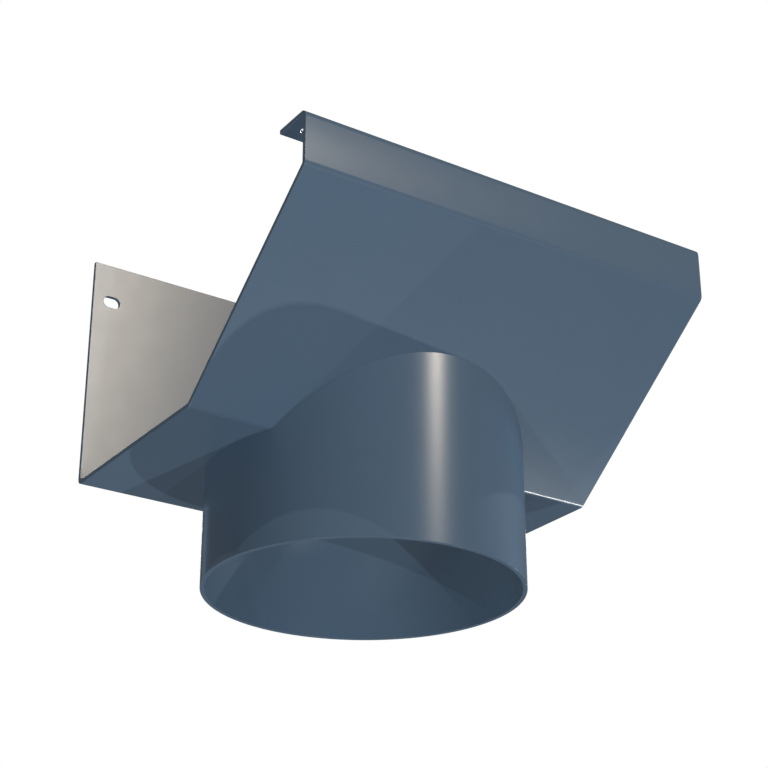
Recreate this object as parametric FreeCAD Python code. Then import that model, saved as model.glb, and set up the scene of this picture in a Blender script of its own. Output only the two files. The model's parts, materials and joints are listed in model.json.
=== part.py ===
import FreeCAD, Part
import math
import os

# Gutter outlet: a short length of folded sheet gutter with a round spigot under it.
# Millimetres. The origin is the centre of the spigot's lower rim.
# X runs along the gutter, the front of the gutter faces -Y, its back plate faces +Y, and Z is up.

# Sheet and folds
sheet_thickness = 2.0
inside_bend_radius = 1.5

# Section of the gutter, measured over its outside faces
back_height = 119.5
sole_width = 110.0
slope_run = 93.0
slope_rise = 74.5
front_band_height = 26.5
return_flange_depth = 21.0

# Length of the gutter on each side of the spigot's axis
reach_left = 110.0
reach_right = 107.0

# Spigot
spigot_diameter = 150.0
spigot_wall = 2.0
spigot_drop = 54.5
spigot_to_back_face = 4.5

# Slotted fixing holes, two in the back plate and two in the return flange
slot_width = 6.0
slot_travel = 3.0
slot_to_end = 10.0
back_slot_below_top = 20.0
flange_slot_to_lip = 8.0

# Places worked out from the sizes above
spigot_radius = spigot_diameter / 2
bore_radius = spigot_radius - spigot_wall
gutter_length = reach_left + reach_right
sole_z = spigot_drop
back_face_y = spigot_radius + spigot_to_back_face
slope_foot_y = back_face_y - sole_width
front_face_y = slope_foot_y - slope_run
slope_top_z = sole_z + slope_rise
front_top_z = slope_top_z + front_band_height
back_top_z = sole_z + back_height
lip_y = front_face_y + return_flange_depth
outer_bend_radius = inside_bend_radius + sheet_thickness


def section_corners():
    """Sharp corners of the sheet's outside face, from the back plate's top round to the lip."""
    corners = [
        (back_face_y, back_top_z),
        (back_face_y, sole_z),
        (slope_foot_y, sole_z),
        (front_face_y, slope_top_z),
        (front_face_y, front_top_z),
        (lip_y, front_top_z),
    ]
    return [FreeCAD.Vector(-reach_left, y, z) for y, z in corners]


def inward(direction):
    """Normal of a run of the outside face, towards the inside of the gutter."""
    return FreeCAD.Vector(0, direction.z, -direction.y)


def folded_line(corners, depth):
    """Edges of the sheet's face at a depth below its outside face, with an arc at each fold."""
    radius = outer_bend_radius - depth
    edges = []
    start = corners[0] + inward((corners[1] - corners[0]).normalize()) * depth
    for before, corner, after in zip(corners, corners[1:], corners[2:]):
        run_in = (corner - before).normalize()
        run_out = (after - corner).normalize()
        setback = outer_bend_radius * math.tan(run_in.getAngle(run_out) / 2)
        centre = corner - run_in * setback + inward(run_in) * outer_bend_radius
        bend_start = centre - inward(run_in) * radius
        bend_end = centre - inward(run_out) * radius
        bend_middle = centre - (inward(run_in) + inward(run_out)).normalize() * radius
        edges.append(Part.LineSegment(start, bend_start).toShape())
        edges.append(Part.Arc(bend_start, bend_middle, bend_end).toShape())
        start = bend_end
    end = corners[-1] + inward((corners[-1] - corners[-2]).normalize()) * depth
    edges.append(Part.LineSegment(start, end).toShape())
    return edges


def closed_prism(edges):
    """Solid drawn along the gutter's length from a closed section."""
    section = Part.Face(Part.Wire(Part.__sortEdges__(edges)))
    return section.extrude(FreeCAD.Vector(gutter_length, 0, 0))


def folded_sheet():
    """The bent sheet before any hole: back plate, sole, slope, front band and return flange."""
    outside = folded_line(section_corners(), 0)
    inside = folded_line(section_corners(), sheet_thickness)
    top_edge = Part.LineSegment(outside[0].firstVertex().Point, inside[0].firstVertex().Point).toShape()
    lip_edge = Part.LineSegment(outside[-1].lastVertex().Point, inside[-1].lastVertex().Point).toShape()
    return closed_prism(outside + inside + [top_edge, lip_edge])


def space_above_sheet():
    """Everything within the sheet's outside face, closed straight across the open top."""
    outside = folded_line(section_corners(), 0)
    open_top = Part.LineSegment(outside[-1].lastVertex().Point, outside[0].firstVertex().Point).toShape()
    return closed_prism(outside + [open_top])


def slot_cutter(centre, direction):
    """Slot with round ends, long along the gutter, cut through the sheet along a direction."""
    radius = slot_width / 2
    half = FreeCAD.Vector(slot_travel / 2, 0, 0)
    across = FreeCAD.Vector(1, 0, 0).cross(direction)
    base = centre - direction * sheet_thickness
    side = across * radius
    end = FreeCAD.Vector(radius, 0, 0)
    outline = Part.Wire([
        Part.LineSegment(base - half + side, base + half + side).toShape(),
        Part.Arc(base + half + side, base + half + end, base + half - side).toShape(),
        Part.LineSegment(base + half - side, base - half - side).toShape(),
        Part.Arc(base - half - side, base - half - end, base - half + side).toShape(),
    ])
    return Part.Face(outline).extrude(direction * (3 * sheet_thickness))


def fixing_slots():
    """Four slots, one near each end of the back plate and of the return flange."""
    slots = []
    for x in (slot_to_end - reach_left, reach_right - slot_to_end):
        back_centre = FreeCAD.Vector(x, back_face_y, back_top_z - back_slot_below_top)
        slots.append(slot_cutter(back_centre, FreeCAD.Vector(0, -1, 0)))
        flange_centre = FreeCAD.Vector(x, lip_y - flange_slot_to_lip, front_top_z)
        slots.append(slot_cutter(flange_centre, FreeCAD.Vector(0, 0, -1)))
    return slots


def gutter_section():
    """Folded sheet with its water hole over the spigot's bore and its four slots."""
    water_hole = Part.makeCylinder(bore_radius, front_top_z)
    return folded_sheet().cut([water_hole] + fixing_slots())


def outlet_spigot():
    """Rolled tube whose top is coped to the slope, the fold and the sole, and seats on them."""
    tube = Part.makeCylinder(spigot_radius, front_top_z)
    bore = Part.makeCylinder(bore_radius, front_top_z)
    return tube.cut([bore, space_above_sheet()])


def single_solid(shape):
    """The one solid that a cut leaves, checked."""
    if len(shape.Solids) != 1:
        raise RuntimeError("a sub-part is not one solid")
    solid = shape.Solids[0]
    if not solid.isValid():
        raise RuntimeError("a sub-part is not a valid solid")
    return solid


def main():
    os.makedirs("parts", exist_ok=True)
    single_solid(gutter_section()).exportStep("parts/gutter_section.step")
    single_solid(outlet_spigot()).exportStep("parts/outlet_spigot.step")


main()
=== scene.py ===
"""Gutter outlet: painted finish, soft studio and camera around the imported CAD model."""
import json
import math

import bpy
import numpy as np
from bpy.props import FloatProperty, FloatVectorProperty, PointerProperty
from bpy.types import Operator, Panel, PropertyGroup
from mathutils import Euler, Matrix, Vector

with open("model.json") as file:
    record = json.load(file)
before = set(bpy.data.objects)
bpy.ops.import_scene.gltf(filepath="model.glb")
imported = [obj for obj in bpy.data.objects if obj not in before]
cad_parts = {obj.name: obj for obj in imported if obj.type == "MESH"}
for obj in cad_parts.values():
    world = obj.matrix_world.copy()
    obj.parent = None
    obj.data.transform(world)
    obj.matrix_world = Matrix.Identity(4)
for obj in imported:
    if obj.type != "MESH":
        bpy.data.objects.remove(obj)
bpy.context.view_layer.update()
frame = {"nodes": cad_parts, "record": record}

bl_info = {
    "name": "Gutter Outlet Finish",
    "version": (1, 0, 0),
    "blender": (4, 5, 0),
    "location": "3D View > Sidebar > Outlet",
    "description": "Paints a gutter outlet and sets it in a soft studio",
    "category": "Material",
}

RECORD_COLOUR = tuple(frame["record"]["materials"][0]["base_color"][:3])

# Heights between which each face bows, metres, and the slope's rise over its run
BAND_HEIGHTS = (0.129, 0.1555)
BACK_HEIGHTS = (0.0545, 0.174)
FOOT_HEIGHTS = (0.0545, 0.080)
SLOPE_GRADE = 0.8

# The back plate's lean at its foot and at its top, as shares of its mean lean
BACK_LEANS = (1.5, 0.5)

# How far a normal points along Y, on a face that is partly and one that is fully upright or sloping
UPRIGHT = (0.9, 1.0)
SLOPING = (0.3, 0.6)

# Cosine of the turn from face to rounded edge, where wear starts and where it is full
EDGE_TURNS = (0.98, 0.85)
BEVEL_SAMPLES = 8

# Share of the edge wear in its faintest and in its strongest patch
WEAR_PATCHES = (0.3, 1.7)
WEAR_ROUGHNESS = 0.3
GLOSS_SPREAD = 0.02

# Where the pattern of each piece's paint starts, so that it doesn't run on from one to the other
SHEET_PATTERN = (0.0, 0.0, 0.0)
SPIGOT_PATTERN = (0.37, 0.11, 0.23)

# Lamps: name, azimuth and elevation of where they stand, apparent width (degrees), red, green and blue light
LAMPS = (
    ("key_front_right", 20.2, 28.9, 7.5, (0.89, 0.79, 0.67)),
    ("low_front", 9.7, -31.6, 0.5, (1.02, 1.11, 1.14)),
    ("low_right", 93.6, -53.8, 1.0, (0.72, 0.72, 0.71)),
    ("low_back_left", -152.5, -52.0, 1.0, (0.69, 0.67, 0.62)),
    ("high_left", -62.0, 52.5, 0.5, (0.52, 0.50, 0.41)),
    ("high_right", 93.5, 32.1, 1.0, (0.54, 0.60, 0.60)),
    ("low_back", -170.0, -46.0, 5.0, (0.15, 0.22, 0.30)),
    ("low_left", -65.2, -33.0, 2.0, (0.53, 0.52, 0.52)),
    ("soft_left", -58.0, -15.0, 30.0, (0.14, 0.21, 0.25)),
    ("level_front", -3.5, -19.5, 0.5, (0.49, 0.52, 0.52)),
    ("level_right", 91.0, 8.0, 8.0, (0.36, 0.58, 0.86)),
    ("glint_back", 176.0, 19.5, 4.0, (0.0014, 0.0026, 0.0042)),
    ("high_back_right", 146.3, 25.0, 20.0, (1.80, 1.80, 1.80)),
    ("top", 0.0, 90.0, 20.0, (0.65, 0.65, 0.65)),
)
LAMP_DISTANCE = 2.0

# Camera: lens in millimetres, place in metres, turn about X, Y and Z in degrees
CAMERA_LENS = 86.2176
CAMERA_CLIP = 0.01
CAMERA_PLACE = (-0.439714, -0.675251, -0.266282)
CAMERA_TURN = (114.7532, 0.0, -33.7317)

# The floor lies this far under the spigot's rim, so that the two don't share a plane
FLOOR_DROP = 0.0002
WHITE = (1.0, 1.0, 1.0, 1.0)


class OutletPaint(PropertyGroup):
    """The slate-blue coat on the sheet and on the spigot."""

    coat_colour: FloatVectorProperty(
        name="Coat colour", description="Colour of the paint on a flat face",
        subtype="COLOR", size=3, min=0.0, max=1.0, default=RECORD_COLOUR)
    coat_roughness: FloatProperty(
        name="Coat roughness", description="How far the paint blurs what it mirrors",
        subtype="FACTOR", min=0.0, max=1.0, default=0.255)
    mottle: FloatProperty(
        name="Mottle", description="How much the paint's depth varies over a face",
        subtype="FACTOR", min=0.0, max=1.0, default=0.03)
    mottle_size: FloatProperty(
        name="Mottle size", description="Width of a patch of lighter or darker paint",
        subtype="DISTANCE", unit="LENGTH", min=0.001, default=0.045)
    peel_size: FloatProperty(
        name="Orange peel size", description="Distance between two humps of the paint's skin",
        subtype="DISTANCE", unit="LENGTH", min=0.0001, default=0.0016)
    peel_height: FloatProperty(
        name="Orange peel height", description="Height of a hump of the paint's skin",
        subtype="DISTANCE", unit="LENGTH", min=0.0, default=0.0000014)
    edge_round: FloatProperty(
        name="Edge rounding", description="Radius that the paint gives to a cut edge",
        subtype="DISTANCE", unit="LENGTH", min=0.0, default=0.0002)
    edge_wear: FloatProperty(
        name="Edge wear", description="How much lighter the thin coat on a sharp edge is",
        subtype="FACTOR", min=0.0, max=1.0, default=0.15)
    band_bow: FloatProperty(
        name="Band bow", description="Lean of the front band at its folds, out at the foot and back at the top",
        subtype="ANGLE", unit="ROTATION", min=0.0, max=0.2, default=math.radians(3.4))
    back_bow: FloatProperty(
        name="Back bow", description="Mean lean of the back plate, more at its foot than at its top",
        subtype="ANGLE", unit="ROTATION", min=0.0, max=0.2, default=math.radians(1.8))
    foot_bow: FloatProperty(
        name="Foot bow", description="Lean of the slope towards the sole, at the fold between them",
        subtype="ANGLE", unit="ROTATION", min=0.0, max=0.2, default=math.radians(2.4))


class OutletStudio(PropertyGroup):
    """Floor and soft light."""

    floor_size: FloatProperty(
        name="Floor size", description="Side of the square floor",
        subtype="DISTANCE", unit="LENGTH", min=0.5, default=12.0)
    floor_colour: FloatVectorProperty(
        name="Floor colour", description="Colour of the pale floor",
        subtype="COLOR", size=3, min=0.0, max=1.0, default=(0.82, 0.82, 0.82))
    sky_strength: FloatProperty(
        name="Soft light", description="Brightness of the light from all round",
        min=0.0, default=0.09)


def node(tree, kind, values=None, **settings):
    """A node of a kind, with some of its settings and input values filled in."""
    made = tree.nodes.new(kind)
    for name, value in settings.items():
        setattr(made, name, value)
    for name, value in (values or {}).items():
        made.inputs[name].default_value = value
    return made


def noise(tree, place, size, detail, start):
    """Noise whose humps are about size apart, on Object coordinates moved by start."""
    moved = node(tree, "ShaderNodeMapping", {"Location": start})
    tree.links.new(place, moved.inputs["Vector"])
    made = node(tree, "ShaderNodeTexNoise", {"Scale": 1.0 / size, "Detail": detail})
    tree.links.new(moved.outputs["Vector"], made.inputs["Vector"])
    return made.outputs["Fac"]


def spread(tree, source, start, end, low, high):
    """Low where source is at start, high where it is at end, even between."""
    made = node(tree, "ShaderNodeMapRange", {"From Min": start, "From Max": end, "To Min": low, "To Max": high})
    tree.links.new(source, made.inputs["Value"])
    return made.outputs["Result"]


def ranged(tree, source, low, high):
    """Source's 0 to 1, spread from low to high."""
    return spread(tree, source, 0.0, 1.0, low, high)


def around(tree, source, middle, reach):
    """Source's 0 to 1, spread evenly to a reach on each side of a middle."""
    return ranged(tree, source, middle - reach, middle + reach)


def math_node(tree, operation, *values, **settings):
    """Math on values that are numbers or other nodes' outputs."""
    made = node(tree, "ShaderNodeMath", operation=operation, **settings)
    for slot, value in zip(made.inputs, values):
        if isinstance(value, bpy.types.NodeSocket):
            tree.links.new(value, slot)
        else:
            slot.default_value = value
    return made.outputs["Value"]


def bowed_normal(tree, coordinates, normal, paint):
    """Normal of sheet that bows a little between its folds.

    Lean is a straight line in height on the front band and another on the back plate. The normal gets
    -ny * lean * w upwards, where ny is its own part along Y and w goes from 0 to 1 as |ny| goes over UPRIGHT.
    The slope leans near its foot, where the normal gets -nz * foot * v times (0, 1, -grade). Here nz is its
    own part along Z, foot falls with height, and v goes from 0 to 1 as |ny| goes over SLOPING.
    """
    place = node(tree, "ShaderNodeSeparateXYZ")
    tree.links.new(coordinates.outputs["Object"], place.inputs["Vector"])
    facing = node(tree, "ShaderNodeSeparateXYZ")
    tree.links.new(coordinates.outputs["Normal"], facing.inputs["Vector"])
    height = place.outputs["Z"]
    steepness = math_node(tree, "ABSOLUTE", facing.outputs["Y"])

    band = spread(tree, height, *BAND_HEIGHTS, -paint.band_bow, paint.band_bow)
    back = spread(tree, height, *BACK_HEIGHTS, *(share * paint.back_bow for share in BACK_LEANS))
    behind = math_node(tree, "GREATER_THAN", place.outputs["Y"], 0.0)
    lean = math_node(tree, "MULTIPLY_ADD", math_node(tree, "SUBTRACT", back, band), behind, band)
    upright = spread(tree, steepness, *UPRIGHT, 0.0, -1.0)
    upward = math_node(tree, "MULTIPLY", math_node(tree, "MULTIPLY", facing.outputs["Y"], upright), lean)

    foot = spread(tree, height, *FOOT_HEIGHTS, paint.foot_bow, 0.0)
    sloping = spread(tree, steepness, *SLOPING, 0.0, -1.0)
    backward = math_node(tree, "MULTIPLY", math_node(tree, "MULTIPLY", facing.outputs["Z"], sloping), foot)

    lift = node(tree, "ShaderNodeCombineXYZ")
    tree.links.new(backward, lift.inputs["Y"])
    tree.links.new(math_node(tree, "MULTIPLY_ADD", backward, -SLOPE_GRADE, upward), lift.inputs["Z"])
    total = node(tree, "ShaderNodeVectorMath", operation="ADD")
    tree.links.new(normal, total.inputs[0])
    tree.links.new(lift.outputs["Vector"], total.inputs[1])
    unit = node(tree, "ShaderNodeVectorMath", operation="NORMALIZE")
    tree.links.new(total.outputs["Vector"], unit.inputs[0])
    return unit.outputs["Vector"]


def coat_material(name, paint, start, bowed):
    """Satin paint: mottled colour, uneven gloss, orange peel, and a thinner coat along sharp edges."""
    material = bpy.data.materials.new(name)
    material.use_nodes = True
    tree = material.node_tree
    link = tree.links.new
    shader = tree.nodes["Principled BSDF"]
    coordinates = node(tree, "ShaderNodeTexCoord")
    place = coordinates.outputs["Object"]

    rounded = node(tree, "ShaderNodeBevel", {"Radius": paint.edge_round}, samples=BEVEL_SAMPLES)
    turned = node(tree, "ShaderNodeVectorMath", operation="DOT_PRODUCT")
    link(rounded.outputs["Normal"], turned.inputs[0])
    link(node(tree, "ShaderNodeNewGeometry").outputs["Normal"], turned.inputs[1])
    patchy = ranged(tree, noise(tree, place, paint.mottle_size / 8, 3.0, start), *WEAR_PATCHES)
    edge = spread(tree, turned.outputs["Value"], *EDGE_TURNS, 0.0, paint.edge_wear)
    wear = math_node(tree, "MULTIPLY", edge, patchy)

    depth = around(tree, noise(tree, place, paint.mottle_size, 3.0, start), 1.0, paint.mottle)
    grain = around(tree, noise(tree, place, paint.peel_size / 2, 1.0, start), 1.0, paint.mottle / 2)
    shade = math_node(tree, "ADD", math_node(tree, "MULTIPLY", depth, grain), wear)
    tint = node(tree, "ShaderNodeVectorMath", {"Vector": paint.coat_colour}, operation="SCALE")
    link(shade, tint.inputs["Scale"])
    link(tint.outputs["Vector"], shader.inputs["Base Color"])

    gloss = around(tree, noise(tree, place, paint.mottle_size / 5, 4.0, start), paint.coat_roughness, GLOSS_SPREAD)
    link(math_node(tree, "MULTIPLY_ADD", wear, WEAR_ROUGHNESS, gloss), shader.inputs["Roughness"])

    normal = rounded.outputs["Normal"]
    if bowed:
        normal = bowed_normal(tree, coordinates, normal, paint)
    peel = node(tree, "ShaderNodeBump", {"Strength": 1.0, "Distance": paint.peel_height})
    link(noise(tree, place, paint.peel_size, 1.0, start), peel.inputs["Height"])
    link(normal, peel.inputs["Normal"])
    link(peel.outputs["Normal"], shader.inputs["Normal"])
    return material


def paint_node(name, start, bowed):
    """Puts the coat on every material slot of a CAD node."""
    piece = frame["nodes"][name]
    material = coat_material(name + "_coat", bpy.context.scene.outlet_paint, start, bowed)
    piece.data.materials.clear()
    piece.data.materials.append(material)


class OUTLET_OT_gutter_section(Operator):
    """Paints the folded gutter section"""

    bl_idname = "outlet.gutter_section"
    bl_label = "Paint Gutter Section"

    def execute(self, context):
        paint_node("gutter_section", SHEET_PATTERN, bowed=True)
        return {"FINISHED"}


class OUTLET_OT_outlet_spigot(Operator):
    """Paints the round spigot"""

    bl_idname = "outlet.outlet_spigot"
    bl_label = "Paint Outlet Spigot"

    def execute(self, context):
        paint_node("outlet_spigot", SPIGOT_PATTERN, bowed=False)
        return {"FINISHED"}


def floor_material(studio):
    """Matt paint that only the camera sees, and only from above; light passes through it."""
    material = bpy.data.materials.new("pale_floor")
    material.use_nodes = True
    tree = material.node_tree
    tree.nodes.clear()
    link = tree.links.new
    rays = node(tree, "ShaderNodeLightPath")
    side = node(tree, "ShaderNodeNewGeometry")
    seen = math_node(tree, "SUBTRACT", rays.outputs["Is Camera Ray"], side.outputs["Backfacing"], use_clamp=True)
    clear = node(tree, "ShaderNodeBsdfTransparent")
    matt = node(tree, "ShaderNodeBsdfDiffuse", {"Color": (*studio.floor_colour, 1.0)})
    mixed = node(tree, "ShaderNodeMixShader")
    output = node(tree, "ShaderNodeOutputMaterial")
    link(seen, mixed.inputs["Fac"])
    link(clear.outputs["BSDF"], mixed.inputs[1])
    link(matt.outputs["BSDF"], mixed.inputs[2])
    link(mixed.outputs["Shader"], output.inputs["Surface"])
    return material


def build_floor(studio):
    """Flat square floor just under the spigot's rim: four corners, half its side from the middle each way."""
    half = studio.floor_size / 2
    corners = np.array([(-half, -half), (half, -half), (half, half), (-half, half)])
    mesh = bpy.data.meshes.new("floor")
    mesh.from_pydata(np.hstack([corners, np.full((4, 1), -FLOOR_DROP)]).tolist(), [], [(0, 1, 2, 3)])
    mesh.materials.append(floor_material(studio))
    floor = bpy.data.objects.new("floor", mesh)
    bpy.context.scene.collection.objects.link(floor)


def build_world(studio):
    """Soft light from all round, seen by the camera as plain white."""
    world = bpy.data.worlds.new("studio")
    world.use_nodes = True
    tree = world.node_tree
    tree.nodes.clear()
    link = tree.links.new
    rays = node(tree, "ShaderNodeLightPath")
    seen = math_node(tree, "MAXIMUM", rays.outputs["Is Camera Ray"], rays.outputs["Is Transmission Ray"])
    soft = node(tree, "ShaderNodeBackground", {"Color": WHITE, "Strength": studio.sky_strength})
    white = node(tree, "ShaderNodeBackground", {"Color": WHITE, "Strength": 1.0})
    mixed = node(tree, "ShaderNodeMixShader")
    output = node(tree, "ShaderNodeOutputWorld")
    link(seen, mixed.inputs["Fac"])
    link(soft.outputs["Background"], mixed.inputs[1])
    link(white.outputs["Background"], mixed.inputs[2])
    link(mixed.outputs["Shader"], output.inputs["Surface"])
    bpy.context.scene.world = world


def towards(azimuth, elevation):
    """Unit vector at an azimuth from the front, turning to +X, and an elevation."""
    level = math.cos(elevation)
    return Vector((math.sin(azimuth) * level, -math.cos(azimuth) * level, math.sin(elevation)))


def build_lamp(name, azimuth, elevation, width, light):
    """Distant lamp in a direction, with an apparent width and a light of its own for each of red, green and blue."""
    data = bpy.data.lights.new(name, "SUN")
    data.angle = math.radians(width)
    data.energy = max(light)
    data.color = [part / max(light) for part in light]
    lamp = bpy.data.objects.new(name, data)
    back = towards(math.radians(azimuth), math.radians(elevation))
    lamp.rotation_euler = back.to_track_quat("Z", "Y").to_euler()
    lamp.location = back * LAMP_DISTANCE
    bpy.context.scene.collection.objects.link(lamp)


def build_camera():
    """Camera below the outlet, to the front and left of it, with the photograph's long lens."""
    data = bpy.data.cameras.new("camera")
    data.lens = CAMERA_LENS
    data.clip_start = CAMERA_CLIP
    camera = bpy.data.objects.new("camera", data)
    camera.location = CAMERA_PLACE
    camera.rotation_euler = Euler([math.radians(turn) for turn in CAMERA_TURN])
    bpy.context.scene.collection.objects.link(camera)
    bpy.context.scene.camera = camera


class OUTLET_OT_stage(Operator):
    """Builds the floor, the soft light, the lamps and the camera"""

    bl_idname = "outlet.stage"
    bl_label = "Build Stage"

    def execute(self, context):
        studio = context.scene.outlet_studio
        build_floor(studio)
        build_world(studio)
        for lamp in LAMPS:
            build_lamp(*lamp)
        build_camera()
        context.scene.view_settings.view_transform = "Standard"
        return {"FINISHED"}


class OUTLET_PT_sidebar(Panel):
    """Sizes, colours and steps of the outlet's finish"""

    bl_idname = "OUTLET_PT_sidebar"
    bl_label = "Gutter Outlet"
    bl_space_type = "VIEW_3D"
    bl_region_type = "UI"
    bl_category = "Outlet"

    def draw(self, context):
        for group in (context.scene.outlet_paint, context.scene.outlet_studio):
            box = self.layout.box()
            for name in group.__annotations__:
                box.prop(group, name)
        for step in STEPS:
            self.layout.operator(step.bl_idname)


STEPS = (OUTLET_OT_gutter_section, OUTLET_OT_outlet_spigot, OUTLET_OT_stage)
CLASSES = (OutletPaint, OutletStudio, *STEPS, OUTLET_PT_sidebar)


def register():
    for cls in CLASSES:
        bpy.utils.register_class(cls)
    bpy.types.Scene.outlet_paint = PointerProperty(type=OutletPaint)
    bpy.types.Scene.outlet_studio = PointerProperty(type=OutletStudio)


def unregister():
    del bpy.types.Scene.outlet_studio
    del bpy.types.Scene.outlet_paint
    for cls in reversed(CLASSES):
        bpy.utils.unregister_class(cls)


def main():
    """Registers the add-on and runs its steps in order."""
    register()
    bpy.ops.outlet.gutter_section()
    bpy.ops.outlet.outlet_spigot()
    bpy.ops.outlet.stage()


if __name__ == "__main__":
    main()
